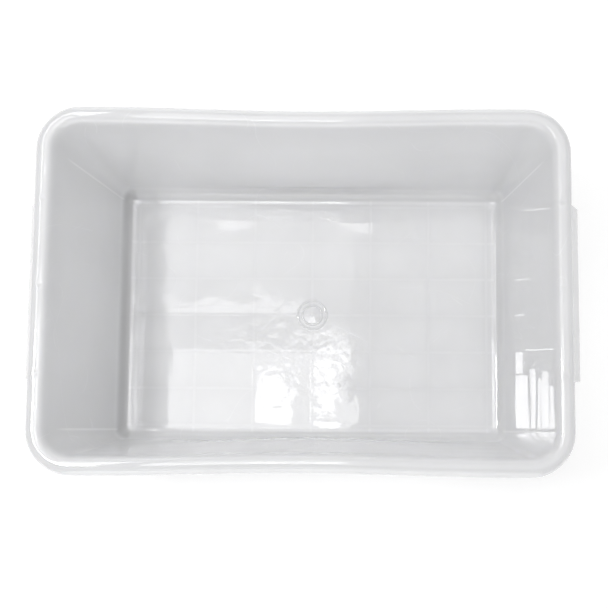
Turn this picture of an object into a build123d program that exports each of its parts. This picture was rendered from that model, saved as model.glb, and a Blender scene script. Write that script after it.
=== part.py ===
from build123d import *
import math
import os

# Deep darkroom tray: one injection moulding in natural polypropylene.
# Millimetres. +X along the length, +Y across, +Z up, origin at the bottom centre of the foot.
# The moulding is written as named regions that meet face to face: floor, ribs, foot, heel
# (the bend between floor and wall), walls, rim roll, rim skirt, grips and gussets.

# Driving dimensions: heights above the surface that the tray stands on
RIM_TOP_Z = 118.0
SKIRT_TOP_Z = 110.0
WALL_TOP_Z = 110.0
SKIRT_BOTTOM_Z = 100.0
GRIP_BOTTOM_Z = 97.5
HEEL_TOP_Z = 17.8
FLOOR_TOP_Z = 7.4
FLOOR_BOTTOM_Z = 5.0
RIB_BOTTOM_Z = 1.0

# Half lengths (X) and half widths (Y) of the inside at each height
FLOOR_HALF = (178.0, 112.8)
HEEL_HALF = (189.8, 124.6)
WALL_TOP_HALF = (204.1, 135.6)
RIM_HALF = (220.0, 151.5)

# Corner radii that go with them
FLOOR_CORNER_R = 6.0
HEEL_CORNER_R = 10.0
WALL_TOP_CORNER_R = 21.1
RIM_CORNER_R = 37.0

# Inward bow of the long sides at mid length: at the rim, and at two heights of the belly below it
RIM_BOW = 2.8
BELLY = ((40.0, 6.2), (66.0, 6.0))
BOW_HALF = 172.0

# Thicknesses
WALL_T = 2.2
RIB_T = 1.8
FOOT_T = 2.4
GRIP_T = 2.4
GUSSET_T = 2.0

# Rim roll section: inset of the crest from the outer edge, inset of the wall's inner face, and how
# far each quarter reaches towards its square corner on the outer and inner side
CREST_INSET = 7.5
WALL_INSET = RIM_HALF[0] - WALL_TOP_HALF[0]
OUTER_FULLNESS = 0.62
INNER_FULLNESS = 0.75

# Underside: grid of ribs, and the foot ring's inner corner radius
RIBS_EACH_WAY = 5
RIB_PITCH = (57.9, 36.65)
FOOT_INNER_R = 3.0

# Centre gate boss, and the grips on the two short ends
GATE_RINGS = ((15.0, 13.6, 0.5), (10.2, 9.0, 0.7))
GATE_PIP_R = 1.6
GATE_PIP_H = 0.9
GRIP_HALF = 74.0
GRIP_REACH = 10.7
GUSSET_Y = (-72.0, 0.0, 72.0)
GUSSET_BOTTOM_Z = 100.0

# Sections that carry the bow along a long side, and the turn of a heel corner. The heel corner is
# made HEEL_LAP too wide inward and cut back to the floor's round corner.
BOW_STEPS = 8
HEEL_TURN_STEPS = 6
HEEL_LAP = 0.5


def bow_along(x):
    """Share of the bow at a distance x from mid length: 1 in the middle, 0 at the corners."""
    if abs(x) >= BOW_HALF:
        return 0.0
    return math.cos(math.pi * x / (2 * BOW_HALF)) ** 2


def bow_stations(reach):
    """X positions of the sections that carry the bow, from -reach to reach."""
    inner = [BOW_HALF * (2 * i / BOW_STEPS - 1) for i in range(BOW_STEPS + 1)]
    return ([-reach] if reach > BOW_HALF else []) + inner + ([reach] if reach > BOW_HALF else [])


def ring_wire(half, radius, bow, z):
    """Rounded rectangle at height z whose long sides bow inward by bow at mid length."""
    a, b = half
    cx, cy = a - radius, b - radius
    d = radius * math.sqrt(0.5)

    def long_side(sign):
        xs = [sign * x for x in (cx, cx / 2, 0, -cx / 2, -cx)]
        points = [(x, sign * (b - bow * bow_along(x)), z) for x in xs]
        return Spline(*points, tangents=[(-sign, 0, 0), (-sign, 0, 0)])

    def corner(sx, sy):
        along_y = (sx * a, sy * cy, z)
        middle = (sx * (cx + d), sy * (cy + d), z)
        along_x = (sx * cx, sy * b, z)
        first, last = (along_y, along_x) if sx * sy > 0 else (along_x, along_y)
        return ThreePointArc(first, middle, last)

    edges = [
        Line((a, -cy, z), (a, cy, z)),
        corner(1, 1),
        long_side(1),
        corner(-1, 1),
        Line((-a, cy, z), (-a, -cy, z)),
        corner(-1, -1),
        long_side(-1),
        corner(1, -1),
    ]
    return Wire(edges)


def wall_levels(skin):
    """Sections of the wall ring, from the heel to the rim, set outward by skin."""
    levels = []
    for z, bow in ((HEEL_TOP_Z, 0.0), *BELLY, (WALL_TOP_Z, RIM_BOW)):
        t = (z - HEEL_TOP_Z) / (WALL_TOP_Z - HEEL_TOP_Z)
        half = [lo + (hi - lo) * t + skin for lo, hi in zip(HEEL_HALF, WALL_TOP_HALF)]
        radius = HEEL_CORNER_R + (WALL_TOP_CORNER_R - HEEL_CORNER_R) * t + skin
        levels.append(ring_wire(half, radius, bow, z))
    return levels


def wall_ring():
    """All four walls and their corners as one hollow ring, before it is cut into regions."""
    outside = Solid.make_loft(wall_levels(WALL_T))
    inside = Solid.make_loft(wall_levels(0.0))
    return outside - inside


def block(x, y, z):
    """Axis-aligned block between pairs of X, Y and Z limits."""
    size = [hi - lo for lo, hi in (x, y, z)]
    centre = [(lo + hi) / 2 for lo, hi in (x, y, z)]
    return Pos(*centre) * Box(*size)


def mirrored(shape):
    """The four corner copies of a shape that lies at +X +Y."""
    right = [shape, shape.mirror(Plane.XZ)]
    return right + [s.mirror(Plane.YZ) for s in right]


def wall_draft():
    """Lean of the end walls from the vertical, as an angle."""
    return math.atan2(WALL_TOP_HALF[0] - HEEL_HALF[0], WALL_TOP_Z - HEEL_TOP_Z)


def heel_profile(base_x, foot_x=None, back_x=None, lap=0.0):
    """Section of the bend between floor and wall, in XZ, with the floor's edge at base_x.

    The wall's inner and outer faces meet it at foot_x and back_x. It laps over the floor by lap.
    """
    draft = wall_draft()
    lean = (math.sin(draft), 0, math.cos(draft))
    if foot_x is None:
        foot_x = base_x + HEEL_HALF[0] - FLOOR_HALF[0]
        back_x = foot_x + WALL_T
    floor_edge = (base_x, 0, FLOOR_TOP_Z)
    wall_foot = (foot_x, 0, HEEL_TOP_Z)
    wall_back = (back_x, 0, HEEL_TOP_Z)
    floor_back = (base_x, 0, FLOOR_BOTTOM_Z)
    inner = Spline(floor_edge, wall_foot, tangents=[(1, 0, 0), lean])
    outer = Spline(wall_back, floor_back, tangents=[tuple(-c for c in lean), (-1, 0, 0)])
    edges = [inner, Line(wall_foot, wall_back), outer]
    if lap == 0:
        return make_face(edges + [Line(floor_back, floor_edge)])
    lap_top = (base_x - lap, 0, FLOOR_TOP_Z)
    lap_back = (base_x - lap, 0, FLOOR_BOTTOM_Z)
    edges += [Line(floor_back, lap_back), Line(lap_back, lap_top), Line(lap_top, floor_edge)]
    return make_face(edges)


def quarter(start, corner, end, fullness):
    """Smooth bend between two points. The fuller it is, the nearer it comes to the square corner."""
    leave, arrive = (
        tuple(p + (c - p) * fullness for p, c in zip(point, corner)) for point in (start, end)
    )
    return Bezier(start, leave, arrive, end)


def roll_profile(edge_x):
    """Section of the rim roll, in XZ, with its outer edge at edge_x."""
    lean = math.tan(wall_draft())
    under_z = RIM_TOP_Z - WALL_T
    wall_x = edge_x - WALL_INSET
    outer_top = (edge_x, 0, SKIRT_TOP_Z)
    outer_corner = (edge_x, 0, RIM_TOP_Z)
    crest = (edge_x - CREST_INSET, 0, RIM_TOP_Z)
    inner_corner = (wall_x + lean * (RIM_TOP_Z - WALL_TOP_Z), 0, RIM_TOP_Z)
    wall_face = (wall_x, 0, WALL_TOP_Z)
    wall_back = (wall_x + WALL_T, 0, WALL_TOP_Z)
    back_corner = (wall_x + WALL_T + lean * (under_z - WALL_TOP_Z), 0, under_z)
    under_crest = (edge_x - CREST_INSET, 0, under_z)
    under_corner = (edge_x - WALL_T, 0, under_z)
    outer_back = (edge_x - WALL_T, 0, SKIRT_TOP_Z)
    edges = [
        quarter(outer_top, outer_corner, crest, OUTER_FULLNESS),
        quarter(crest, inner_corner, wall_face, INNER_FULLNESS),
        Line(wall_face, wall_back),
        quarter(wall_back, back_corner, under_crest, INNER_FULLNESS),
        quarter(under_crest, under_corner, outer_back, OUTER_FULLNESS),
        Line(outer_back, outer_top),
    ]
    return make_face(edges)


def skirt_profile(edge_x):
    """Section of the band that hangs from the rim roll, in XZ, with its outer face at edge_x."""
    across = (edge_x - WALL_T, edge_x)
    heights = (SKIRT_TOP_Z, SKIRT_TOP_Z, SKIRT_BOTTOM_Z, SKIRT_BOTTOM_Z)
    points = [(x, 0, z) for x, z in zip(across + across[::-1], heights)]
    return make_face(Polyline(*points, close=True))


def run_along_y(face, y_lo, y_hi):
    """A section in XZ run straight along Y."""
    return extrude(Pos(0, y_lo, 0) * face, amount=y_hi - y_lo, dir=(0, 1, 0))


def turned_corner(profile, half, radius):
    """A quarter turn of a section about the vertical axis of the +X +Y corner."""
    centre = (half[0] - radius, half[1] - radius, 0)
    face = Pos(0, centre[1], 0) * profile(half[0])
    return revolve(face, Axis(centre, (0, 0, 1)), 90)


def corner_reach(angle, reach, radius):
    """Distance to a rounded corner, in a direction at angle to X, from a point reach away from both sides."""
    c, s = math.cos(angle), math.sin(angle)
    middle = reach - radius
    if reach * min(c, s) <= middle * max(c, s):
        return reach / max(c, s)
    return middle * (c + s) + math.sqrt(radius**2 - (middle * (c - s)) ** 2)


def heel_corner():
    """Bend at the +X +Y corner: it turns tighter than the floor's edge does as it rises."""
    run = HEEL_HALF[0] - FLOOR_HALF[0]
    inside = (FLOOR_CORNER_R + run, HEEL_CORNER_R)
    outside = (FLOOR_CORNER_R + run + WALL_T, HEEL_CORNER_R + WALL_T)
    centre = [v - FLOOR_CORNER_R for v in FLOOR_HALF]
    sections = []
    for i in range(HEEL_TURN_STEPS + 1):
        angle = math.radians(90) * i / HEEL_TURN_STEPS
        reaches = [corner_reach(angle, *place) for place in (inside, outside)]
        profile = heel_profile(FLOOR_CORNER_R, *reaches, lap=HEEL_LAP)
        sections.append(Pos(*centre, 0) * Rot(0, 0, math.degrees(angle)) * profile)
    floor_round = Pos(*centre, FLOOR_TOP_Z) * Cylinder(FLOOR_CORNER_R, 2 * FLOOR_TOP_Z)
    return (loft(sections) - floor_round).solids()[0]


def side_from_profile(profile, edge_x, edge_y, reach, bow):
    """A section run along X on the +Y side, bowed inward by bow at mid length."""
    upright = Rot(0, 0, 90) * (Pos(-edge_x, 0, 0) * profile(edge_x))
    if bow == 0:
        return extrude(Pos(-reach, edge_y, 0) * upright, amount=2 * reach, dir=(1, 0, 0))
    stations = bow_stations(reach)
    faces = [Pos(x, edge_y - bow * bow_along(x), 0) * upright for x in stations]
    return loft(faces)


def floor_panel():
    """Flat floor inside the heel."""
    sketch = RectangleRounded(2 * FLOOR_HALF[0], 2 * FLOOR_HALF[1], FLOOR_CORNER_R)
    return extrude(Pos(0, 0, FLOOR_BOTTOM_Z) * sketch, amount=FLOOR_TOP_Z - FLOOR_BOTTOM_Z)


def gate_boss():
    """Two raised rings and a pip where the plastic entered the mould."""
    parts = [extrude(Pos(0, 0, FLOOR_TOP_Z) * Circle(GATE_PIP_R), amount=GATE_PIP_H)]
    for outer, inner, height in GATE_RINGS:
        ring = Circle(outer) - Circle(inner)
        parts.append(extrude(Pos(0, 0, FLOOR_TOP_Z) * ring, amount=height))
    return parts


def rib_offsets(pitch):
    """Centre lines of the ribs across one direction."""
    middle = RIBS_EACH_WAY // 2
    return [pitch * (i - middle) for i in range(RIBS_EACH_WAY)]


def foot_inside():
    """Half length and half width of the inner face of the foot ring."""
    cells = (RIBS_EACH_WAY + 1) / 2
    return [pitch * cells - FOOT_T / 2 for pitch in RIB_PITCH]


def cross_ribs():
    """Ribs that run the full width under the floor."""
    half = foot_inside()[1]
    return [
        block((x - RIB_T / 2, x + RIB_T / 2), (-half, half), (RIB_BOTTOM_Z, FLOOR_BOTTOM_Z))
        for x in rib_offsets(RIB_PITCH[0])
    ]


def long_ribs():
    """Ribs along the length, in the lengths that fit between the cross ribs and the foot."""
    half = foot_inside()[0]
    stops = [-half]
    for x in rib_offsets(RIB_PITCH[0]):
        stops += [x - RIB_T / 2, x + RIB_T / 2]
    stops.append(half)
    spans = list(zip(stops[::2], stops[1::2]))
    return [
        block(span, (y - RIB_T / 2, y + RIB_T / 2), (RIB_BOTTOM_Z, FLOOR_BOTTOM_Z))
        for y in rib_offsets(RIB_PITCH[1])
        for span in spans
    ]


def foot_parts():
    """Foot ring that the tray stands on: four straights and four corners."""
    lo = foot_inside()
    hi = [v + FOOT_T for v in lo]
    corner_r = FOOT_INNER_R + FOOT_T
    straight = [v - corner_r for v in hi]
    height = (0, FLOOR_BOTTOM_Z)
    ring = Circle(corner_r) - Circle(FOOT_INNER_R)
    quarter = ring & (Pos(corner_r, corner_r) * Rectangle(2 * corner_r, 2 * corner_r))
    corner = extrude(Pos(straight[0], straight[1], 0) * quarter, amount=FLOOR_BOTTOM_Z)
    return {
        "foot_front": [block((-straight[0], straight[0]), (-hi[1], -lo[1]), height)],
        "foot_back": [block((-straight[0], straight[0]), (lo[1], hi[1]), height)],
        "foot_left": [block((-hi[0], -lo[0]), (-straight[1], straight[1]), height)],
        "foot_right": [block((lo[0], hi[0]), (-straight[1], straight[1]), height)],
        "foot_corners": mirrored(corner),
    }


def heel_parts():
    """Bend between floor and wall: four straights and four corners."""
    reach = [v - FLOOR_CORNER_R for v in FLOOR_HALF]
    right = run_along_y(heel_profile(FLOOR_HALF[0]), -reach[1], reach[1])
    back = side_from_profile(heel_profile, FLOOR_HALF[0], FLOOR_HALF[1], reach[0], 0)
    return {
        "heel_front": [back.mirror(Plane.XZ)],
        "heel_back": [back],
        "heel_left": [right.mirror(Plane.YZ)],
        "heel_right": [right],
        "heel_corners": mirrored(heel_corner()),
    }


def wall_parts():
    """Walls above the heel, cut from one ring so that they meet face to face."""
    ring = wall_ring()
    cut_x, cut_y = [v - HEEL_CORNER_R for v in HEEL_HALF]
    far = 2 * RIM_HALF[0]
    z = (0, RIM_TOP_Z)
    back = ring & block((-cut_x, cut_x), (0, far), z)
    right = ring & block((0, far), (-cut_y, cut_y), z)
    corner = ring & block((cut_x, far), (cut_y, far), z)
    return {
        "wall_front": [back.mirror(Plane.XZ)],
        "wall_back": [back],
        "wall_left": [right.mirror(Plane.YZ)],
        "wall_right": [right],
        "wall_corners": mirrored(corner),
    }


def roll_parts():
    """Rounded top of the rim: four straights and four corners."""
    reach = [v - RIM_CORNER_R for v in RIM_HALF]
    right = run_along_y(roll_profile(RIM_HALF[0]), -reach[1], reach[1])
    back = side_from_profile(roll_profile, RIM_HALF[0], RIM_HALF[1], reach[0], RIM_BOW)
    return {
        "rim_front": [back.mirror(Plane.XZ)],
        "rim_back": [back],
        "rim_left": [right.mirror(Plane.YZ)],
        "rim_right": [right],
        "rim_corners": mirrored(turned_corner(roll_profile, RIM_HALF, RIM_CORNER_R)),
    }


def skirt_parts():
    """Band that hangs from the rim roll. The grips interrupt it on the two short ends."""
    reach = [v - RIM_CORNER_R for v in RIM_HALF]
    right = run_along_y(skirt_profile(RIM_HALF[0]), GRIP_HALF, reach[1])
    rights = [right, right.mirror(Plane.XZ)]
    back = side_from_profile(skirt_profile, RIM_HALF[0], RIM_HALF[1], reach[0], RIM_BOW)
    return {
        "skirt_front": [back.mirror(Plane.XZ)],
        "skirt_back": [back],
        "skirt_left": [s.mirror(Plane.YZ) for s in rights],
        "skirt_right": rights,
        "skirt_corners": mirrored(turned_corner(skirt_profile, RIM_HALF, RIM_CORNER_R)),
    }


def grip():
    """Flared hand flange on the right end, in place of the skirt."""
    top, bottom = SKIRT_TOP_Z, GRIP_BOTTOM_Z
    outer_top = (RIM_HALF[0], 0, top)
    outer_bottom = (RIM_HALF[0] + GRIP_REACH, 0, bottom)
    inner_bottom = (RIM_HALF[0] + GRIP_REACH - GRIP_T, 0, bottom)
    inner_top = (RIM_HALF[0] - WALL_T, 0, top)
    face = make_face(Polyline(outer_top, outer_bottom, inner_bottom, inner_top, close=True))
    return run_along_y(face, -GRIP_HALF, GRIP_HALF)


def gussets(end_wall, roll, flange):
    """Webs between the end wall, the rim roll and the grip on the right end."""
    webs = []
    for y in GUSSET_Y:
        across = (y - GUSSET_T / 2, y + GUSSET_T / 2)
        reach = (RIM_HALF[0] - WALL_INSET, RIM_HALF[0] + GRIP_REACH)
        slab = block(reach, across, (GUSSET_BOTTOM_Z, RIM_TOP_Z))
        pieces = (slab - end_wall - roll - flange).solids()
        inboard = [s for s in pieces if s.center().Z < RIM_TOP_Z - WALL_T and s.center().X < RIM_HALF[0]]
        webs.append(max(inboard, key=lambda s: s.volume))
    return webs


def build():
    """Every node's solids by name."""
    nodes = {
        "floor_panel": [floor_panel()],
        "gate_boss": gate_boss(),
        "cross_ribs": cross_ribs(),
        "long_ribs": long_ribs(),
    }
    for parts in (foot_parts(), heel_parts(), wall_parts(), roll_parts(), skirt_parts()):
        nodes.update(parts)
    right_grip = grip()
    webs = gussets(nodes["wall_right"][0], nodes["rim_right"][0], right_grip)
    nodes["grip_right"] = [right_grip]
    nodes["grip_left"] = [right_grip.mirror(Plane.YZ)]
    nodes["gussets_right"] = webs
    nodes["gussets_left"] = [w.mirror(Plane.YZ) for w in webs]
    return nodes


os.makedirs("parts", exist_ok=True)
for name, solids in build().items():
    shape = solids[0] if len(solids) == 1 else Compound(children=list(solids))
    export_step(shape, f"parts/{name}.step")
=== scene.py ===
import math

import bpy
from mathutils import Euler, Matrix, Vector, noise

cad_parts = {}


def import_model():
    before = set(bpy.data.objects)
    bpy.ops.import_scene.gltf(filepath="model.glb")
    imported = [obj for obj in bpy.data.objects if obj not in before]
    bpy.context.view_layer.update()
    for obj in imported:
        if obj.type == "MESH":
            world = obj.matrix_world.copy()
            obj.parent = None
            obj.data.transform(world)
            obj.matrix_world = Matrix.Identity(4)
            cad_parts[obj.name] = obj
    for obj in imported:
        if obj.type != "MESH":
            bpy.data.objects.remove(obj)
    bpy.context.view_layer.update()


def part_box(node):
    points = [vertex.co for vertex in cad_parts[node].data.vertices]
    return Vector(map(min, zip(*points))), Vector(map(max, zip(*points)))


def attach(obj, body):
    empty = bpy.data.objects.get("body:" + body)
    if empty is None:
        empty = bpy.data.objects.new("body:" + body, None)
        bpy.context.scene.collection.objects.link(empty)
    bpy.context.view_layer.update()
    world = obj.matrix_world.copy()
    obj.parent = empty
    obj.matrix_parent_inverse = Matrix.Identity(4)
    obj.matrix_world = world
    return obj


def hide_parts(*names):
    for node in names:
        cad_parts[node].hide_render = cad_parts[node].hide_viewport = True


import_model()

MM = 0.001

# ---------------------------------------------------------------------------
# Sizes. Overall sizes and heights are read from the frame, and radii and small details are stated.
# ---------------------------------------------------------------------------

SKIN = 2.2 * MM

floor_lo, floor_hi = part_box("floor_panel")
skirt_lo, skirt_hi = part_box("skirt_corners")
grip_lo, grip_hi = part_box("grip_right")
rib_lo, rib_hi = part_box("cross_ribs")
heel_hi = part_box("heel_corners")[1]
wall_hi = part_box("wall_corners")[1]
rim_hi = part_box("rim_corners")[1]
foot_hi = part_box("foot_corners")[1]

FLOOR_TOP, FLOOR_UNDER = floor_hi.z, floor_lo.z
HEEL_TOP, WALL_TOP = heel_hi.z, wall_hi.z
RIM_TOP, SKIRT_TOP, SKIRT_BOTTOM = rim_hi.z, skirt_hi.z, skirt_lo.z
RIB_BOTTOM = rib_lo.z

FLOOR_HALF = (floor_hi.x, floor_hi.y)
HEEL_HALF = (heel_hi.x - SKIN, heel_hi.y - SKIN)
WALL_HALF = (wall_hi.x - SKIN, wall_hi.y - SKIN)
RIM_HALF = (rim_hi.x, rim_hi.y)

FLOOR_R = 6.0 * MM
HEEL_R = 10.0 * MM
WALL_R = 21.1 * MM
RIM_R = 37.0 * MM
CREST_INSET = 7.5 * MM
WALL_INSET = RIM_HALF[0] - WALL_HALF[0]

# Fullness of the rim roll on each side of its crest: 0 is a straight chord, 1 pulls right to the corner
OUTER_FULLNESS = 0.62
INNER_FULLNESS = 0.75

# Bend between floor and wall: angle at which it leaves the floor, and its end slopes against its chord
HEEL_START = math.radians(7)
HEEL_PULL = 1.15

# The long sides bow inward at mid length, most at the belly of the wall: (height, bow)
BOW_HALF = 172.0 * MM
RIM_BOW = 2.8 * MM
BELLY = ((HEEL_TOP, 0.0), (40.0 * MM, 6.2 * MM), (66.0 * MM, 6.0 * MM), (WALL_TOP, RIM_BOW))

# Underside ribs and foot. Each taper is the half width at the lower edge and at the root, as a
# share of the thickness, and both reach ROOT_RISE up into the floor, so that no gap shows.
RIBS_EACH_WAY = 5
RIB_T = 1.8 * MM
RIB_PITCH = ((rib_hi.x - rib_lo.x - RIB_T) / (RIBS_EACH_WAY - 1), 36.65 * MM)
RIB_LINES = [[pitch * (i - RIBS_EACH_WAY // 2) for i in range(RIBS_EACH_WAY)] for pitch in RIB_PITCH]
FOOT_T = 2.4 * MM
FOOT_R = 5.4 * MM
FOOT_HALF = (foot_hi.x, foot_hi.y)
RIB_TAPER = (0.42, 0.55)
FOOT_TAPER = (0.46, 0.55)
ROOT_RISE = 0.6 * MM
ROUND_STEPS = 8
SHARP_ANGLE = math.radians(50)

# Grips: the rim flares outward and down along them
GRIP_HALF = grip_hi.y
GRIP_REACH = grip_hi.x - RIM_HALF[0]
GRIP_DROP = SKIRT_BOTTOM - grip_lo.z
GRIP_END = 1.2 * MM

# Sink marks on top of the end rims, over the gussets
SINK_INSET = 9.6 * MM
SINK_Y = (-70.0 * MM, 2.0 * MM, 72.0 * MM)
SINK_DEPTH = 0.45 * MM
SINK_R = 2.2 * MM

# Floor cells between the ribs are shallow dishes: depth along x, and along y
CELL_DISH = (0.16 * MM, 0.13 * MM)

# Sink line in the floor over each rib: (depth, half width), and its change along as (share, changes
# in a metre)
SINK_LINE = (0.05 * MM, 0.9 * MM)
SINK_LINE_CHANGE = (0.8, 25)

# The relief of the floor fades out this near its edge
FLOOR_FADE = 7 * MM

# Waves of the floor as (height, changes in a metre, shift of the noise): over all of it, then swirls
# beside the gate, whose places are bent by (distance, changes in a metre)
FLOOR_WAVES = ((0.30 * MM, 14, (0, 0, 0)), (0.07 * MM, 34, (5, 3, 1)))
SWIRL_WAVES = ((0.14 * MM, 60, (1, 7, 3)), (0.035 * MM, 130, (4, 2, 8)))
SWIRL_BEND = (0.02, 22)
SWIRL_CENTRE = (-20 * MM, -50 * MM)
SWIRL_R = 75 * MM

# Blender seeds noise_vector, which bends the swirls, from the clock unless it is given a seed
SWIRL_SEED = 1794894828

# Ripples of the walls as (depth, changes in a metre along, and up, shift of the seed), and how far
# from the wall's ends, bottom and top they are at their full depth
WALL_RIPPLES = ((0.11 * MM, 13, 95, 0), (0.30 * MM, 11, 16, 9))
WALL_SEEDS = {"right": 0.3, "back": 1.7, "left": 3.1, "front": 4.9}
RIPPLE_FADE = {"ends": 20 * MM, "bottom": 8 * MM, "top": 10 * MM}

# Mould gate mark in the middle of the floor: (radius, half width, height) of its two rings, (radius,
# height) of its dome and its pip, half the square that its mesh fills, and the gap between mesh rings
GATE_RINGS = ((14.3 * MM, 0.75 * MM, 0.50 * MM), (9.7 * MM, 0.75 * MM, 0.60 * MM))
GATE_DOME = (8.6 * MM, 0.45 * MM)
GATE_PIP = (1.3 * MM, 0.35 * MM)
GATE_SQUARE = 18.0 * MM
GATE_STEP = 0.3 * MM

# ---------------------------------------------------------------------------
# Small helpers
# ---------------------------------------------------------------------------


def lerp(a, b, t):
    """Value a fraction t of the way from a to b."""
    return a + (b - a) * t


def smooth(t):
    """Smooth step from 0 to 1."""
    t = min(1.0, max(0.0, t))
    return t * t * (3 - 2 * t)


def hermite(p0, p1, m0, m1, t):
    """Point at t on a cubic with ends p0, p1 and end slopes m0, m1."""
    a = 2 * t**3 - 3 * t**2 + 1
    b = t**3 - 2 * t**2 + t
    c = -2 * t**3 + 3 * t**2
    d = t**3 - t**2
    return tuple(a * w + b * x + c * y + d * z for w, x, y, z in zip(p0, m0, p1, m1))


def belly_bow(z):
    """Bow of the wall at height z, as a Lagrange curve through the BELLY sections."""
    if z <= HEEL_TOP:
        return 0.0
    if z >= WALL_TOP:
        return RIM_BOW
    total = 0.0
    for i, (zi, bi) in enumerate(BELLY):
        term = bi
        for j, (zj, _) in enumerate(BELLY):
            if j != i:
                term *= (z - zj) / (zi - zj)
        total += term
    return total


def mesh_object(name, points, faces, material):
    """A smooth-shaded mesh piece that rides on the tray."""
    mesh = bpy.data.meshes.new(name)
    mesh.from_pydata(points, [], faces)
    mesh.validate()
    mesh.update()
    mesh.polygons.foreach_set("use_smooth", [True] * len(mesh.polygons))
    piece = bpy.data.objects.new(name, mesh)
    bpy.context.collection.objects.link(piece)
    piece.data.materials.append(material)
    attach(piece, "root")
    return piece


# ---------------------------------------------------------------------------
# Materials. A pair of distances or heights is where a smooth change begins and ends.
# ---------------------------------------------------------------------------

PLASTIC_WHITE = (0.80, 0.802, 0.812)
CLOUD_TINTS = (0.98, 1.03)
CLOUD_SCALE = 14.0
CLOUD_SPAN = (0.3, 0.7)
CLOUD_SHARE = 0.6
SCATTER_RADIUS = (0.0024, 0.0024, 0.0023)
IOR = 1.49
ROUGHNESS = (0.02, 0.06)
ROUGHNESS_SCALE = 45.0
ROUGHNESS_SPAN = (0.35, 0.7)

# Painted lighter line over each underside rib, standing in for light scattered back by the thicker
# plastic: distance from the rib, and height
RIB_LINE_WIDTH = (0.5 * MM, 2.2 * MM)
RIB_LINE_HEIGHT = (FLOOR_TOP + 0.6 * MM, FLOOR_TOP + 1.6 * MM)

# Painted shade in the bend round the floor: heights where it comes and goes, and the x of the left end,
# where it is full
HEEL_SHADE = 0.79
HEEL_SHADE_FOOT = (FLOOR_TOP + 0.2 * MM, FLOOR_TOP + 1.2 * MM)
HEEL_SHADE_HEAD = (FLOOR_TOP + 3.5 * MM, HEEL_TOP - 1.0 * MM)
HEEL_SHADE_LEFT = (-FLOOR_HALF[0] - 2 * MM, -FLOOR_HALF[0] + 3 * MM)
HEEL_SHADE_ELSEWHERE = 0.27

# Painted highlight along the crease up the inside of each end wall: its y, width, depth behind the face,
# and heights
CREASE_HIGHLIGHT_COLOUR = (0.89, 0.89, 0.90, 1)
CREASE_Y = HEEL_HALF[1] - HEEL_R
CREASE_WIDTH = (0.5 * MM, 1.3 * MM)
CREASE_DEPTH = (0.8 * MM, 1.6 * MM)
CREASE_FOOT = (HEEL_TOP - 8 * MM, HEEL_TOP)
CREASE_HEAD = (WALL_TOP - 25 * MM, WALL_TOP - 8 * MM)

# Scratches: (shift, scale) of each set's noise, their width in it at SCRATCH_SCALE, and the values of
# a second noise between which they fade in
SCRATCH_SETS = (((0.0, 0.0, 0.0), 7.0), ((3.1, 1.7, 0.4), 11.0), ((7.3, 5.2, 2.9), 16.0))
SCRATCH_SCALE = 7
SCRATCH_WIDTH = (0.0004, 0.0022)
SCRATCH_GAPS = (0.48, 0.60)
SCRATCH_RISE = 0.02 * MM

# Swirls beside the gate, finer than those in the mesh, full within FLOW_CORE of their radius
FLOW_RISE = 0.16 * MM
FLOW_SCALE = 80.0
FLOW_TWIST = 0.8
FLOW_CENTRE = (*SWIRL_CENTRE, FLOOR_TOP)
FLOW_R = 95.0 * MM
FLOW_CORE = 0.35


class Nodes:
    """Adds shader nodes to a material and links them."""

    def __init__(self, name):
        self.material = bpy.data.materials.new(name)
        self.material.use_nodes = True
        self.tree = self.material.node_tree
        self.shader = self.tree.nodes["Principled BSDF"]

    def add(self, kind, links=None, **values):
        """A node with its properties set and its inputs linked."""
        node = self.tree.nodes.new(kind)
        for key, value in values.items():
            setattr(node, key, value)
        for socket, source in (links or {}).items():
            self.tree.links.new(source, self.socket(node, socket))
        return node

    def socket(self, node, name):
        """The enabled input of a node with this name."""
        return next(s for s in node.inputs if s.name == name and s.enabled)

    def result(self, node):
        """The enabled output of a node."""
        return next(s for s in node.outputs if s.enabled)

    def math(self, operation, a, b=None, c=None):
        """A Math node on outputs or numbers."""
        node = self.tree.nodes.new("ShaderNodeMath")
        node.operation = operation
        for i, value in enumerate((a, b, c)):
            if value is None:
                continue
            if isinstance(value, (int, float)):
                node.inputs[i].default_value = value
            else:
                self.tree.links.new(value, node.inputs[i])
        return node.outputs[0]

    def link(self, source, socket):
        """Link an output to a socket of the shader."""
        self.tree.links.new(source, self.shader.inputs[socket])


def ramp(n, value, span, at_lo, at_hi):
    """Smooth change of a value from at_lo to at_hi as it goes through span."""
    node = n.add("ShaderNodeMapRange", {"Value": value})
    node.interpolation_type = "SMOOTHSTEP"
    for socket, number in zip(("From Min", "From Max", "To Min", "To Max"), (*span, at_lo, at_hi)):
        node.inputs[socket].default_value = number
    return node.outputs["Result"]


def texture(n, vector, scale, detail, distortion=0.0):
    """Value of a noise texture."""
    node = n.add("ShaderNodeTexNoise", {"Vector": vector})
    node.inputs["Scale"].default_value = scale
    node.inputs["Detail"].default_value = detail
    node.inputs["Distortion"].default_value = distortion
    return node.outputs["Fac"]


def rib_light_mask(n, coord):
    """1 on the floor over an underside rib, fading to 0 a few millimetres away: where painted light stands
    for the rib seen through the floor.
    """
    split = n.add("ShaderNodeSeparateXYZ", {"Vector": coord})
    masks = []
    for axis, pitch in zip(("X", "Y"), RIB_PITCH):
        cells = n.math("DIVIDE", split.outputs[axis], pitch)
        nearest = n.math("ROUND", cells)
        away = n.math("ABSOLUTE", n.math("SUBTRACT", cells, nearest))
        away = n.math("MULTIPLY", away, pitch)
        masks.append(ramp(n, away, RIB_LINE_WIDTH, 1.0, 0.0))
    both = n.math("MAXIMUM", *masks)
    low = ramp(n, split.outputs["Z"], RIB_LINE_HEIGHT, 1.0, 0.0)
    return n.math("MULTIPLY", both, low)


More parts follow.
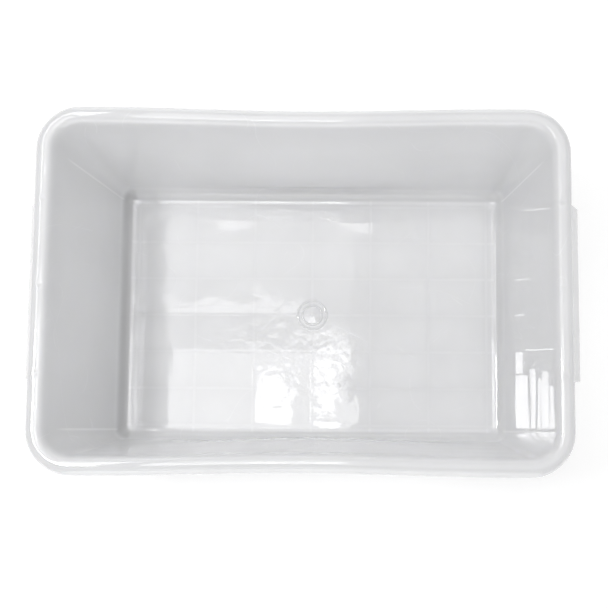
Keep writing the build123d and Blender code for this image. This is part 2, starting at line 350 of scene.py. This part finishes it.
def heel_shade_mask(n, coord):
    """Painted shade in the bend round the floor: full at the left end, part elsewhere."""
    split = n.add("ShaderNodeSeparateXYZ", {"Vector": coord})
    above = ramp(n, split.outputs["Z"], HEEL_SHADE_FOOT, 0.0, 1.0)
    below = ramp(n, split.outputs["Z"], HEEL_SHADE_HEAD, 1.0, 0.0)
    end = ramp(n, split.outputs["X"], HEEL_SHADE_LEFT, 1.0, HEEL_SHADE_ELSEWHERE)
    return n.math("MULTIPLY", n.math("MULTIPLY", above, below), end)


def crease_highlight_mask(n, coord):
    """Thin painted highlight up the inside of each end wall where the corner begins."""
    split = n.add("ShaderNodeSeparateXYZ", {"Vector": coord})
    x, y = (n.math("ABSOLUTE", split.outputs[axis]) for axis in ("X", "Y"))
    away = n.math("ABSOLUTE", n.math("SUBTRACT", y, CREASE_Y))
    line = ramp(n, away, CREASE_WIDTH, 1.0, 0.0)
    slope = (WALL_HALF[0] - HEEL_HALF[0]) / (WALL_TOP - HEEL_TOP)
    face = n.math("MULTIPLY_ADD", split.outputs["Z"], slope, HEEL_HALF[0] - slope * HEEL_TOP)
    behind = n.math("SUBTRACT", x, face)
    inner = ramp(n, n.math("ABSOLUTE", behind), CREASE_DEPTH, 1.0, 0.0)
    low = ramp(n, split.outputs["Z"], CREASE_FOOT, 0.0, 1.0)
    high = ramp(n, split.outputs["Z"], CREASE_HEAD, 1.0, 0.0)
    return n.math("MULTIPLY", n.math("MULTIPLY", line, inner), n.math("MULTIPLY", low, high))


def scratches(n, coord):
    """Long curved hairline scratches: broken contour lines of slow noise."""
    total = None
    for shift, scale in SCRATCH_SETS:
        moved = n.add("ShaderNodeVectorMath", {"Vector": coord}, operation="ADD")
        moved.inputs[1].default_value = shift
        slow = texture(n, moved.outputs["Vector"], scale, 0.0)
        gaps = texture(n, moved.outputs["Vector"], 3 * scale, 1.0)
        away = n.math("ABSOLUTE", n.math("SUBTRACT", slow, 0.5))
        line = ramp(n, away, [width * scale / SCRATCH_SCALE for width in SCRATCH_WIDTH], 1.0, 0.0)
        line = n.math("MULTIPLY", line, ramp(n, gaps, SCRATCH_GAPS, 0.0, 1.0))
        total = line if total is None else n.math("MAXIMUM", total, line)
    return total


def flow_marks(n, coord):
    """Fine swirls that the plastic left as it froze beside the gate."""
    away = n.add("ShaderNodeVectorMath", {"Vector": coord}, operation="DISTANCE")
    away.inputs[1].default_value = FLOW_CENTRE
    near = ramp(n, away.outputs["Value"], (FLOW_R * FLOW_CORE, FLOW_R), 1.0, 0.0)
    swirl = texture(n, coord, FLOW_SCALE, 1.0, FLOW_TWIST)
    return n.math("MULTIPLY", swirl, near)


def relief(n, coord, lines):
    """Bump from the scratches and the swirls."""
    height = n.math("ADD", n.math("MULTIPLY", lines, SCRATCH_RISE / FLOW_RISE), flow_marks(n, coord))
    bump = n.add("ShaderNodeBump", {"Height": height})
    bump.inputs["Strength"].default_value = 1.0
    bump.inputs["Distance"].default_value = FLOW_RISE
    return bump.outputs["Normal"]


def over(n, mask, under, colour):
    """A colour laid over another where the mask is 1."""
    mix = n.add("ShaderNodeMix", {"Factor": mask, "A": under}, data_type="RGBA")
    n.socket(mix, "B").default_value = colour
    return n.result(mix)


def tinted(share):
    """The plastic's white times a share, no lighter than white."""
    return (*[min(1.0, level * share) for level in PLASTIC_WHITE], 1)


def plastic(name, with_details=False):
    """Milky natural polypropylene: translucent, glossy and cloudy.

    The details are the rib lines (painted light), scratches, swirls, the darker bend (painted shade) and
    the creases (painted highlights) of the tub.
    """
    n = Nodes(name)
    coord = n.add("ShaderNodeTexCoord").outputs["Object"]
    shader = n.shader
    shader.inputs["Subsurface Weight"].default_value = 1.0
    shader.inputs["Subsurface Radius"].default_value = SCATTER_RADIUS
    shader.inputs["Subsurface Scale"].default_value = 1.0
    shader.inputs["IOR"].default_value = IOR
    # Both faces of a thin sheet reflect, so it shines about twice as much as one surface would
    shader.inputs["Specular IOR Level"].default_value = 1.0

    light = ramp(n, texture(n, coord, CLOUD_SCALE, 3.0), CLOUD_SPAN, 0.0, CLOUD_SHARE)
    if with_details:
        lines = scratches(n, coord)
        # Painted light over the ribs, with the real scratches, lightens the clouds
        light = n.math("MAXIMUM", light, n.math("MAXIMUM", rib_light_mask(n, coord), lines))
        n.link(relief(n, coord, lines), "Normal")
    clouds = n.add("ShaderNodeMix", {"Factor": light}, data_type="RGBA")
    for socket, share in zip(("A", "B"), CLOUD_TINTS):
        n.socket(clouds, socket).default_value = tinted(share)
    colour = n.result(clouds)
    if with_details:
        # Painted shade in the bend round the floor
        colour = over(n, heel_shade_mask(n, coord), colour, tinted(HEEL_SHADE))
        # Painted highlight on the crease of each end wall
        colour = over(n, crease_highlight_mask(n, coord), colour, CREASE_HIGHLIGHT_COLOUR)
    n.link(colour, "Base Color")
    fine = texture(n, coord, ROUGHNESS_SCALE, 4.0)
    n.link(ramp(n, fine, ROUGHNESS_SPAN, *ROUGHNESS), "Roughness")
    return n.material


tub_plastic = plastic("tub_plastic", with_details=True)
rim_plastic = plastic("rim_plastic")

# ---------------------------------------------------------------------------
# The tub: one closed skin from the middle of the floor over the rim and back under
# ---------------------------------------------------------------------------

CORNER_STEPS = 12

# Usual and least gap between mesh lines, and how far the close ones beside each feature are from it
LINE_GAP = 4.3 * MM
LEAST_GAP = 0.4 * MM
NEAR_RIB = [away * MM for away in (0.0, 0.6, 1.4, 2.6, 4.2)]
NEAR_EDGE = [away * MM for away in (0.0, 0.7, 1.6, 3.0)]
NEAR_SINK = [away * MM for away in (-4.5, -2.8, -1.3, 0, 1.3, 2.8, 4.5)]
NEAR_GATE = [k * 2.2 * MM for k in range(9)]

# Rings in each stretch of the skin: its shown face, then its back
HEEL_STEPS, WALL_STEPS, INNER_STEPS, OUTER_STEPS = 12, 26, 14, 12
BACK_HEEL_STEPS, BACK_WALL_STEPS, BACK_INNER_STEPS, BACK_OUTER_STEPS = 6, 10, 7, 6

# Skirt rings, 0 at its top and 1 at its lower edge, which is round below SKIRT_EDGE
SKIRT_DEPTHS = (0.0, 0.2, 0.45, 0.7, 0.88)
SKIRT_BACK_DEPTHS = (0.7, 0.35)
SKIRT_EDGE = 0.93
SKIRT_EDGE_ANGLES = (0, 45, 90, 135, 180)


def side_lines(half, ribs, extra):
    """Positions of the mesh lines along one side: close together at ribs and ends, wider between."""
    lines = {*extra, *[-v for v in extra]}
    lines.update(sign * (half - away) for away in NEAR_EDGE for sign in (1, -1))
    for rib in ribs:
        lines.update(rib + sign * away for away in NEAR_RIB for sign in (1, -1))
    fixed = {half, -half, GATE_SQUARE, -GATE_SQUARE}
    ordered = sorted(v for v in lines | fixed if abs(v) <= half)
    kept = [ordered[0]]
    for v in ordered[1:]:
        gap = v - kept[-1]
        if gap < LEAST_GAP:
            if v in fixed:
                kept[-1] = v
            continue
        parts = max(1, round(gap / LINE_GAP))
        base = kept[-1]
        kept += [base + gap * k / parts for k in range(1, parts)] + [v]
    return kept


X_LINES = side_lines(FLOOR_HALF[0] - FLOOR_R, RIB_LINES[0], NEAR_GATE)

# The end rims are longer than the floor is wide, so lines wanted there are scaled down to it
END_SCALE = (FLOOR_HALF[1] - FLOOR_R) / (RIM_HALF[1] - RIM_R)
SINK_LINES = [(y + off) * END_SCALE for y in SINK_Y for off in NEAR_SINK]
GRIP_LINES = [v * END_SCALE for v in (GRIP_HALF - GRIP_END, GRIP_HALF)]
Y_LINES = side_lines(FLOOR_HALF[1] - FLOOR_R, RIB_LINES[1], GRIP_LINES + SINK_LINES + NEAR_GATE)


def stations():
    """Stations round the tub, anticlockwise from the front of the right side, as (side, fraction).

    A corner is named by its two sides: rb is right and back, lf is left and front.
    """
    along = [(x / X_LINES[-1] + 1) / 2 for x in X_LINES[:-1]]
    across = [(y / Y_LINES[-1] + 1) / 2 for y in Y_LINES[:-1]]
    turn = [i / CORNER_STEPS for i in range(CORNER_STEPS)]
    order = (
        ("right", across), ("corner_rb", turn), ("back", along), ("corner_lb", turn),
        ("left", across), ("corner_lf", turn), ("front", along), ("corner_rf", turn),
    )
    return [(side, t) for side, ts in order for t in ts]


STATIONS = stations()
TURNS = {"corner_rb": 0, "corner_lb": 1, "corner_lf": 2, "corner_rf": 3}


def plan_point(half, radius, bow, side, t):
    """Point in plan on a rounded rectangle with bowed long sides."""
    a, b = half
    cx, cy = a - radius, b - radius
    if side == "right":
        return a, lerp(-cy, cy, t)
    if side == "left":
        return -a, lerp(cy, -cy, t)
    if side in ("back", "front"):
        sign = 1 if side == "back" else -1
        x = sign * lerp(cx, -cx, t)
        share = math.cos(math.pi * x / (2 * BOW_HALF)) ** 2 if abs(x) < BOW_HALF else 0.0
        return x, sign * (b - bow * share)
    turn = TURNS[side]
    angle = math.radians(90) * (turn + t)
    sx = 1 if turn in (0, 3) else -1
    sy = 1 if turn in (0, 1) else -1
    return sx * cx + radius * math.cos(angle), sy * cy + radius * math.sin(angle)


def grip_share(side, y):
    """1 along a grip, 0 elsewhere, with a short steep end."""
    if side not in ("right", "left"):
        return 0.0
    return min(1.0, max(0.0, (GRIP_HALF - abs(y)) / GRIP_END))


def wall_ripple(side, along, z):
    """Ripples pressed in the walls by the flow of the plastic: level streaks, with slow waves along."""
    if side.startswith("corner"):
        return 0.0
    reach = RIM_HALF[0] if side in ("front", "back") else RIM_HALF[1]
    fade = smooth((reach - RIM_R - abs(along)) / RIPPLE_FADE["ends"])
    fade *= smooth((z - HEEL_TOP) / RIPPLE_FADE["bottom"]) * smooth((WALL_TOP - z) / RIPPLE_FADE["top"])
    ripple = 0.0
    for depth, rate_along, rate_up, shift in WALL_RIPPLES:
        ripple += depth * noise.noise(Vector((along * rate_along, z * rate_up, WALL_SEEDS[side] + shift)))
    return fade * ripple


def sink(x, y):
    """Depth of the sink marks on the end rims at a place."""
    depth = 0.0
    for mark in SINK_Y:
        away = math.hypot(abs(x) - RIM_HALF[0] + SINK_INSET, y - mark)
        depth += SINK_DEPTH * math.exp(-((away / SINK_R) ** 2))
    return depth


class Ring:
    """One closed ring of points round the tub.

    It holds the half sizes, corner radius, bow and height. flare is the share of a grip's reach that
    it takes, from 0 to 1, rippled is for the walls, and sunk is for the top of the rim.
    """

    def __init__(self, half, radius, bow, z, flare=0.0, rippled=False, sunk=False):
        self.half, self.radius, self.bow, self.z = half, radius, bow, z
        self.flare, self.rippled, self.sunk = flare, rippled, sunk

    def points(self):
        """Points of the ring, flared outward and down along the grips."""
        return [self.point(side, t) for side, t in STATIONS]

    def point(self, side, t):
        """One point of the ring."""
        x, y = plan_point(self.half, self.radius, self.bow, side, t)
        z = self.z
        if self.flare:
            share = grip_share(side, y) * self.flare
            x += math.copysign(GRIP_REACH * share, x)
            z -= GRIP_DROP * share
        if self.rippled and side in ("left", "right"):
            x += math.copysign(wall_ripple(side, y, z), x)
        elif self.rippled:
            y += math.copysign(wall_ripple(side, x, z), y)
        if self.sunk:
            z -= sink(x, y)
        return x, y, z


def lean():
    """Direction up the end walls in section, outward and up, as a unit vector."""
    run, rise = WALL_HALF[0] - HEEL_HALF[0], WALL_TOP - HEEL_TOP
    length = math.hypot(run, rise)
    return run / length, rise / length


LEAN = lean()


def heel_ring(skin, z0, t):
    """Ring of the bend between floor and wall, set outward by skin, with z0 its height at the floor."""
    run, rise = HEEL_HALF[0] - FLOOR_HALF[0] + skin, HEEL_TOP - z0
    size = math.hypot(run, rise) * HEEL_PULL
    start = (size * math.cos(HEEL_START), size * math.sin(HEEL_START))
    out, z = hermite((0, z0), (run, HEEL_TOP), start, (LEAN[0] * size, LEAN[1] * size), t)
    radius = lerp(FLOOR_R, HEEL_R + skin, out / run)
    return Ring([f + out for f in FLOOR_HALF], radius, 0.0, z)


def wall_ring(t, skin):
    """Ring of the wall, set outward by skin."""
    z = lerp(HEEL_TOP, WALL_TOP, t)
    half = [lerp(lo, hi, t) + skin for lo, hi in zip(HEEL_HALF, WALL_HALF)]
    return Ring(half, lerp(HEEL_R, WALL_R, t) + skin, belly_bow(z), z, rippled=True)


def roll_rings(start, corner, end, fullness, steps, sunk=False):
    """Rings of one quarter of the rim roll, from start round a corner to end, each (inset, height)."""
    leave = [3 * fullness * (c - p) for p, c in zip(start, corner)]
    arrive = [3 * fullness * (p - c) for p, c in zip(end, corner)]
    rings = []
    for i in range(steps):
        inset, z = hermite(start, end, leave, arrive, i / steps)
        rings.append(Ring([r - inset for r in RIM_HALF], RIM_R - inset, RIM_BOW, z, sunk=sunk))
    return rings


def skirt_ring(inset, depth):
    """Ring of the skirt, depth being 0 at its top and 1 at its lower edge."""
    half = [r - inset for r in RIM_HALF]
    return Ring(half, RIM_R - inset, RIM_BOW, lerp(SKIRT_TOP, SKIRT_BOTTOM, depth), depth)


def skin_rings():
    """Every ring from the edge of the floor over the rim to the edge of the underside."""
    rings = [heel_ring(0.0, FLOOR_TOP, i / HEEL_STEPS) for i in range(HEEL_STEPS)]
    rings += [wall_ring(i / WALL_STEPS, 0.0) for i in range(WALL_STEPS)]
    slope = LEAN[0] / LEAN[1]
    under = RIM_TOP - SKIN
    wall_face, crest = (WALL_INSET, WALL_TOP), (CREST_INSET, RIM_TOP)
    inner_corner = (WALL_INSET - slope * (RIM_TOP - WALL_TOP), RIM_TOP)
    outer, outer_back = (0.0, SKIRT_TOP), (SKIN, SKIRT_TOP)
    under_crest, wall_back = (CREST_INSET, under), (WALL_INSET - SKIN, WALL_TOP)
    back_corner = (WALL_INSET - SKIN - slope * (under - WALL_TOP), under)
    rings += roll_rings(wall_face, inner_corner, crest, INNER_FULLNESS, INNER_STEPS, sunk=True)
    rings += roll_rings(crest, (0.0, RIM_TOP), outer, OUTER_FULLNESS, OUTER_STEPS, sunk=True)
    rings += [skirt_ring(0.0, depth) for depth in SKIRT_DEPTHS]
    edge = SKIN / 2
    for angle in SKIRT_EDGE_ANGLES:
        a = math.radians(angle)
        rings.append(skirt_ring(edge - edge * math.cos(a), lerp(SKIRT_EDGE, 1.0, math.sin(a))))
    rings += [skirt_ring(SKIN, depth) for depth in SKIRT_BACK_DEPTHS]
    rings += roll_rings(outer_back, (SKIN, under), under_crest, OUTER_FULLNESS, BACK_OUTER_STEPS)
    rings += roll_rings(under_crest, back_corner, wall_back, INNER_FULLNESS, BACK_INNER_STEPS)
    rings += [wall_ring(1 - i / BACK_WALL_STEPS, SKIN) for i in range(BACK_WALL_STEPS)]
    rings += [heel_ring(SKIN, FLOOR_UNDER, 1 - i / BACK_HEEL_STEPS) for i in range(BACK_HEEL_STEPS)]
    rings.append(Ring(list(FLOOR_HALF), FLOOR_R, 0.0, FLOOR_UNDER))
    return rings


def gate_height(r):
    """Height of the gate mark above the floor at a distance from its middle."""
    height = sum(h * math.exp(-(((r - mid) / half) ** 2)) for mid, half, h in GATE_RINGS)
    if r < GATE_DOME[0]:
        height += GATE_DOME[1] * (1 - (r / GATE_DOME[0]) ** 2)
    return height + GATE_PIP[1] * math.exp(-((r / GATE_PIP[0]) ** 4))


def floor_relief(x, y):
    """Height of the moulded floor.

    Each cell between ribs is a shallow dish, with a sink line over each rib, and the flow of the
    plastic leaves waves, with swirls beside the gate.
    """
    height = 0.0
    place = Vector((x, y, 0))
    for axis, (value, pitch, dish) in enumerate(zip((x, y), RIB_PITCH, CELL_DISH)):
        cell = value / pitch - round(value / pitch)
        height -= dish * (1 - 4 * (0.5 - abs(cell)) ** 2)
        if abs(value) < (RIBS_EACH_WAY / 2) * pitch:
            change, rate = SINK_LINE_CHANGE
            depth = SINK_LINE[0] * (1 + change * noise.noise(place * rate + Vector((axis * 4, 0, 2))))
            height -= depth * math.exp(-((cell * pitch / SINK_LINE[1]) ** 2))
    for rise, rate, shift in FLOOR_WAVES:
        height += rise * noise.noise(place * rate + Vector(shift))
    swirl = place + SWIRL_BEND[0] * noise.noise_vector(place * SWIRL_BEND[1])
    near = math.exp(-(math.hypot(x - SWIRL_CENTRE[0], y - SWIRL_CENTRE[1]) / SWIRL_R) ** 2)
    for rise, rate, shift in SWIRL_WAVES:
        height += rise * near * noise.noise(swirl * rate + Vector(shift))
    edge = min(FLOOR_HALF[0] - abs(x), FLOOR_HALF[1] - abs(y))
    return height * smooth(edge / FLOOR_FADE)


def grid_place(i, j):
    """Place of a floor grid point. The outer CORNER_STEPS / 2 lines each way bend round the corner."""
    half_turn = CORNER_STEPS // 2

    def reach(k, lines):
        last = len(lines) - 1
        if k < 0:
            return lines[0], k
        if k > last:
            return lines[-1], k - last
        return lines[k], 0

    x, past_x = reach(i, X_LINES)
    y, past_y = reach(j, Y_LINES)
    if past_x and past_y:
        # Square to disc: rings of constant max(|u|, |v|) become arcs
        u, v = abs(past_x) / half_turn, abs(past_y) / half_turn
        size = max(u, v)
        angle = math.radians(45) * (v / u if v <= u else 2 - u / v)
        dx, dy = size * math.cos(angle), size * math.sin(angle)
    else:
        dx, dy = abs(past_x) / half_turn, abs(past_y) / half_turn
    x += math.copysign(dx * FLOOR_R, past_x) if past_x else 0
    y += math.copysign(dy * FLOOR_R, past_y) if past_y else 0
    return x, y


def floor_boundary(nx, ny, extra):
    """Grid indices round the floor's edge, in the order of STATIONS."""
    lo, hi_x, hi_y = -extra, nx - 1 + extra, ny - 1 + extra
    path = [(hi_x, j) for j in range(0, hi_y)]
    path += [(i, hi_y) for i in range(hi_x, lo, -1)]
    path += [(lo, j) for j in range(hi_y, lo, -1)]
    path += [(i, lo) for i in range(lo, hi_x)]
    path += [(hi_x, j) for j in range(lo, 0)]
    return path


def gate_patch(points, faces, index, lo, hi):
    """Fill the square hole in the middle of the floor with rings that carry the gate mark."""
    (i0, j0), (i1, j1) = lo, hi
    square = [(i1, j) for j in range(j0, j1)] + [(i, j1) for i in range(i1, i0, -1)]
    square += [(i0, j) for j in range(j1, j0, -1)] + [(i, j0) for i in range(i0, i1)]
    border = [index["top", *c] for c in square]
    angles = [math.atan2(points[k][1], points[k][0]) for k in border]
    outer = border
    widest = GATE_RINGS[0][0] + 3 * GATE_RINGS[0][1]
    for k in range(int(widest / GATE_STEP)):
        r = widest - k * GATE_STEP
        ring = list(range(len(points), len(points) + len(border)))
        for angle in angles:
            x, y = r * math.cos(angle), r * math.sin(angle)
            points.append((x, y, FLOOR_TOP + floor_relief(x, y) + gate_height(r)))
        faces += quads(outer, ring)
        outer = ring
    middle = len(points)
    points.append((0, 0, FLOOR_TOP + floor_relief(0, 0) + gate_height(0)))
    faces += [(outer[k], outer[(k + 1) % len(outer)], middle) for k in range(len(outer))]


def quads(low, high):
    """Faces between two closed loops of points."""
    count = len(low)
    return [(low[k], low[(k + 1) % count], high[(k + 1) % count], high[k]) for k in range(count)]


def tub_mesh():
    """Points and faces of the whole closed skin."""
    points, faces, index = [], [], {}
    nx, ny, extra = len(X_LINES), len(Y_LINES), CORNER_STEPS // 2
    columns, rows = range(-extra, nx + extra), range(-extra, ny + extra)
    lo = X_LINES.index(-GATE_SQUARE), Y_LINES.index(-GATE_SQUARE)
    hi = X_LINES.index(GATE_SQUARE), Y_LINES.index(GATE_SQUARE)
    for layer, z in (("top", FLOOR_TOP), ("under", FLOOR_UNDER)):
        top = layer == "top"
        for i in columns:
            for j in rows:
                if top and lo[0] < i < hi[0] and lo[1] < j < hi[1]:
                    continue
                x, y = grid_place(i, j)
                index[layer, i, j] = len(points)
                points.append((x, y, z + (floor_relief(x, y) if top else 0.0)))
        for i in columns[:-1]:
            for j in rows[:-1]:
                if top and lo[0] <= i < hi[0] and lo[1] <= j < hi[1]:
                    continue
                face = [index[layer, *c] for c in ((i, j), (i + 1, j), (i + 1, j + 1), (i, j + 1))]
                faces.append(tuple(face if top else reversed(face)))
    gate_patch(points, faces, index, lo, hi)
    border = floor_boundary(nx, ny, extra)
    loops = [[index["top", *c] for c in border]]
    for ring in skin_rings()[1:-1]:
        loops.append(list(range(len(points), len(points) + len(STATIONS))))
        points += ring.points()
    loops.append([index["under", *c] for c in border])
    for low, high in zip(loops, loops[1:]):
        faces += quads(high, low)
    return points, faces


def make_tub():
    """The tub's skin, in place of the floor, gate mark, heel, wall, rim, skirt and grip nodes."""
    points, faces = tub_mesh()
    tub = mesh_object("tub_skin", points, faces, tub_plastic)
    sides = ("front", "back", "left", "right", "corners")
    regions = [f"{part}_{side}" for part in ("heel", "wall", "rim", "skirt") for side in sides]
    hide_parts("floor_panel", "gate_boss", "grip_left", "grip_right", *regions)


noise.seed_set(SWIRL_SEED)
make_tub()

# ---------------------------------------------------------------------------
# Underside: rib grid and foot, and the gussets inside the grips
# ---------------------------------------------------------------------------


def blade_section(bottom, thick, taper):
    """Section of a moulded rib as (across, height): narrower and rounded at its lower edge."""
    half_foot, half_root = (thick * share for share in taper)
    top = FLOOR_UNDER + ROOT_RISE
    points = [(half_root, top), (half_foot, bottom + half_foot)]
    for k in range(1, ROUND_STEPS):
        angle = math.pi * k / ROUND_STEPS
        points.append((half_foot * math.cos(angle), bottom + half_foot * (1 - math.sin(angle))))
    points += [(-half_foot, bottom + half_foot), (-half_root, top)]
    return points


def add_bar(points, faces, section, along, start, end, across):
    """A straight bar of this section along x (0) or y (1), at a distance across from the middle."""
    base = len(points)
    count = len(section)
    for place in (start, end):
        for off, z in section:
            x, y = (place, across + off) if along == 0 else (across - off, place)
            points.append((x, y, z))
    for k in range(count):
        m = (k + 1) % count
        faces.append((base + k, base + count + k, base + count + m, base + m))
    faces.append(tuple(range(base, base + count)))
    faces.append(tuple(range(base + 2 * count - 1, base + count - 1, -1)))


def make_ribs():
    """The grid of ribs under the floor."""
    points, faces = [], []
    section = blade_section(RIB_BOTTOM, RIB_T, RIB_TAPER)
    for along, lines in ((1, RIB_LINES[0]), (0, RIB_LINES[1])):
        reach = FOOT_HALF[along] - FOOT_T / 2
        for across in lines:
            add_bar(points, faces, section, along, -reach, reach, across)
    ribs = mesh_object("underside_ribs", points, faces, rim_plastic)
    ribs.data.set_sharp_from_angle(angle=SHARP_ANGLE)
    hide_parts("cross_ribs", "long_ribs")


def make_foot():
    """The rounded foot that runs round under the edge of the floor."""
    section = [(FOOT_T / 2 + off, z) for off, z in blade_section(0.0, FOOT_T, FOOT_TAPER)]
    points, faces, loops = [], [], []
    for inset, z in section:
        ring = Ring([f - inset for f in FOOT_HALF], FOOT_R - inset, 0.0, z)
        loops.append(list(range(len(points), len(points) + len(STATIONS))))
        points += ring.points()
    for low, high in zip(loops, loops[1:] + loops[:1]):
        faces += quads(low, high)
    foot = mesh_object("foot_ring", points, faces, rim_plastic)
    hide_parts(*[f"foot_{side}" for side in ("front", "back", "left", "right", "corners")])


def dress_gussets():
    """The gussets stay as CAD nodes and get the plastic."""
    for node in ("gussets_left", "gussets_right"):
        materials = bpy.data.objects[node].data.materials
        materials.clear()
        materials.append(rim_plastic)


make_ribs()
make_foot()
dress_gussets()

# ---------------------------------------------------------------------------
# Stage, camera and lights
# ---------------------------------------------------------------------------

# The camera: place, turn in degrees, lens and sensor in millimetres, and shift of the lens
CAMERA_PLACE = (0.0424, -0.1128, 0.5637)
CAMERA_TURN = (3.31, -0.13, 0.33)
LENS, SENSOR = 33.36, 36.0
LENS_SHIFT = (-0.0843, 0.1516)

STAGE_HALF = 6.0
STAGE_GREY = 0.72
STAGE_ROUGHNESS = 0.9
STAGE_GLOW = 0.42

CEILING_Z = 1.5
LAMP_Z = 1.45

# Small lamps that stand for the bright window and rib lines on the floor, as the right wall mirrors
# them: (x limits, y limits)
GLINT_HEIGHT = FLOOR_TOP + 5 * MM
GLINT_RADIANCE = 0.27
GLINT_TILT = math.radians(217)
GLINT_SPREAD = math.radians(64)
GLINT_EDGE = -111.5 * MM
GLINTS = (
    ((0.1665, 0.1755), (-0.057, -0.036)),
    ((0.1595, 0.1755), (GLINT_EDGE, -0.0590)),
    ((0.1530, 0.1585), (GLINT_EDGE, -0.0520)),
    ((0.1465, 0.1505), (GLINT_EDGE, -0.0610)),
    ((0.1375, 0.1455), (GLINT_EDGE, -0.0540)),
    ((0.1290, 0.1365), (GLINT_EDGE, -0.0690)),
    ((0.1180, 0.1275), (GLINT_EDGE, -0.0930)),
    ((0.1290, 0.1750), (-0.0330, -0.0318)),
    ((0.1640, 0.1755), (0.0006, 0.0024)),
    ((0.1590, 0.1745), (0.0374, 0.0388)),
    ((0.1340, 0.1740), (0.1098, 0.1114)),
)


def stage_floor():
    """Plain pale floor that glows a little."""
    mesh = bpy.data.meshes.new("stage_floor")
    corners = [(x * STAGE_HALF, y * STAGE_HALF, 0) for x, y in ((-1, -1), (1, -1), (1, 1), (-1, 1))]
    mesh.from_pydata(corners, [], [(0, 1, 2, 3)])
    floor = bpy.data.objects.new("stage_floor", mesh)
    bpy.context.collection.objects.link(floor)
    n = Nodes("pale_floor")
    n.shader.inputs["Base Color"].default_value = (STAGE_GREY, STAGE_GREY, STAGE_GREY, 1)
    n.shader.inputs["Roughness"].default_value = STAGE_ROUGHNESS
    n.shader.inputs["Emission Color"].default_value = (1, 1, 1, 1)
    n.shader.inputs["Emission Strength"].default_value = STAGE_GLOW
    floor.data.materials.append(n.material)


def camera():
    """Camera almost straight above, set towards the front right."""
    data = bpy.data.cameras.new("camera")
    data.sensor_width = SENSOR
    data.lens = LENS
    data.shift_x, data.shift_y = LENS_SHIFT
    data.clip_start = 0.01
    cam = bpy.data.objects.new("camera", data)
    cam.location = CAMERA_PLACE
    cam.rotation_euler = Euler([math.radians(v) for v in CAMERA_TURN])
    bpy.context.collection.objects.link(cam)
    bpy.context.scene.camera = cam


def lamp(name, size, radiance, place, turn=(0, 0, 0)):
    """Rectangular area light that the camera doesn't see. It shines down before it is turned."""
    data = bpy.data.lights.new(name, "AREA")
    data.shape = "RECTANGLE"
    data.size, data.size_y = size
    data.energy = radiance * math.pi * data.size * data.size_y
    light = bpy.data.objects.new(name, data)
    light.location = place
    light.rotation_euler = Euler(turn)
    light.visible_camera = False
    bpy.context.collection.objects.link(light)


def overhead(name, x, y, radiance, z=CEILING_Z):
    """Level light between two x and two y limits."""
    lamp(name, (x[1] - x[0], y[1] - y[0]), radiance, ((x[0] + x[1]) / 2, (y[0] + y[1]) / 2, z))


def glint(name, x, y):
    """Lamp just above the tray's floor, turned to the right wall, that only reflections see."""
    place = ((x[0] + x[1]) / 2, (y[0] + y[1]) / 2, GLINT_HEIGHT)
    width = (x[1] - x[0]) * abs(math.cos(GLINT_TILT))
    lamp(name, (width, y[1] - y[0]), GLINT_RADIANCE, place, (0, GLINT_TILT, 0))
    light = bpy.data.objects[name]
    light.data.spread = GLINT_SPREAD
    light.visible_diffuse = False
    light.visible_transmission = False


def world(strength):
    """Even white surroundings."""
    w = bpy.data.worlds.new("surroundings")
    w.use_nodes = True
    w.node_tree.nodes["Background"].inputs["Color"].default_value = (1, 1, 1, 1)
    w.node_tree.nodes["Background"].inputs["Strength"].default_value = strength
    bpy.context.scene.world = w


stage_floor()
camera()
world(0.33)
overhead("ceiling_far_left", (-0.645, 0.02), (0.22, 1.0), 1.15)
overhead("ceiling_near_left", (-0.645, 0.02), (-0.17, 0.22), 2.6)
overhead("ceiling_right", (0.02, 0.95), (-0.30, 1.0), 0.75)
overhead("end_light", (-1.04, -0.76), (0.19, 0.95), 3.3)
overhead("window", (-1.04, -0.80), (-0.13, 0.19), 21.0)
overhead("near_light", (-0.85, 0.85), (-1.40, -0.95), 0.9)
overhead("pane_left", (-0.29, -0.185), (-0.066, 0.10), 2.4, LAMP_Z)
overhead("pane_right", (-0.08, -0.01), (-0.066, 0.10), 2.8, LAMP_Z)
overhead("pane_upper", (-0.10, 0.01), (0.135, 0.19), 2.0, LAMP_Z)
overhead("strip_middle", (-0.64, -0.18), (0.305, 0.35), 1.5, LAMP_Z)
overhead("strip_far", (-0.50, 0.12), (0.625, 0.655), 1.7, LAMP_Z)
for i, (x, y) in enumerate(GLINTS):
    glint(f"glint_{i}", x, y)
lamp("right_wall", (1.4, 2.4), 0.23, (1.8, 0, 0.8), (0, math.radians(90), 0))
lamp("near_wall", (2.4, 1.4), 1.30, (0, -1.8, 0.8), (math.radians(90), 0, 0))
lamp("far_wall", (2.4, 1.4), 0.90, (0, 1.9, 0.8), (math.radians(-90), 0, 0))
bpy.context.scene.view_settings.view_transform = "Standard"
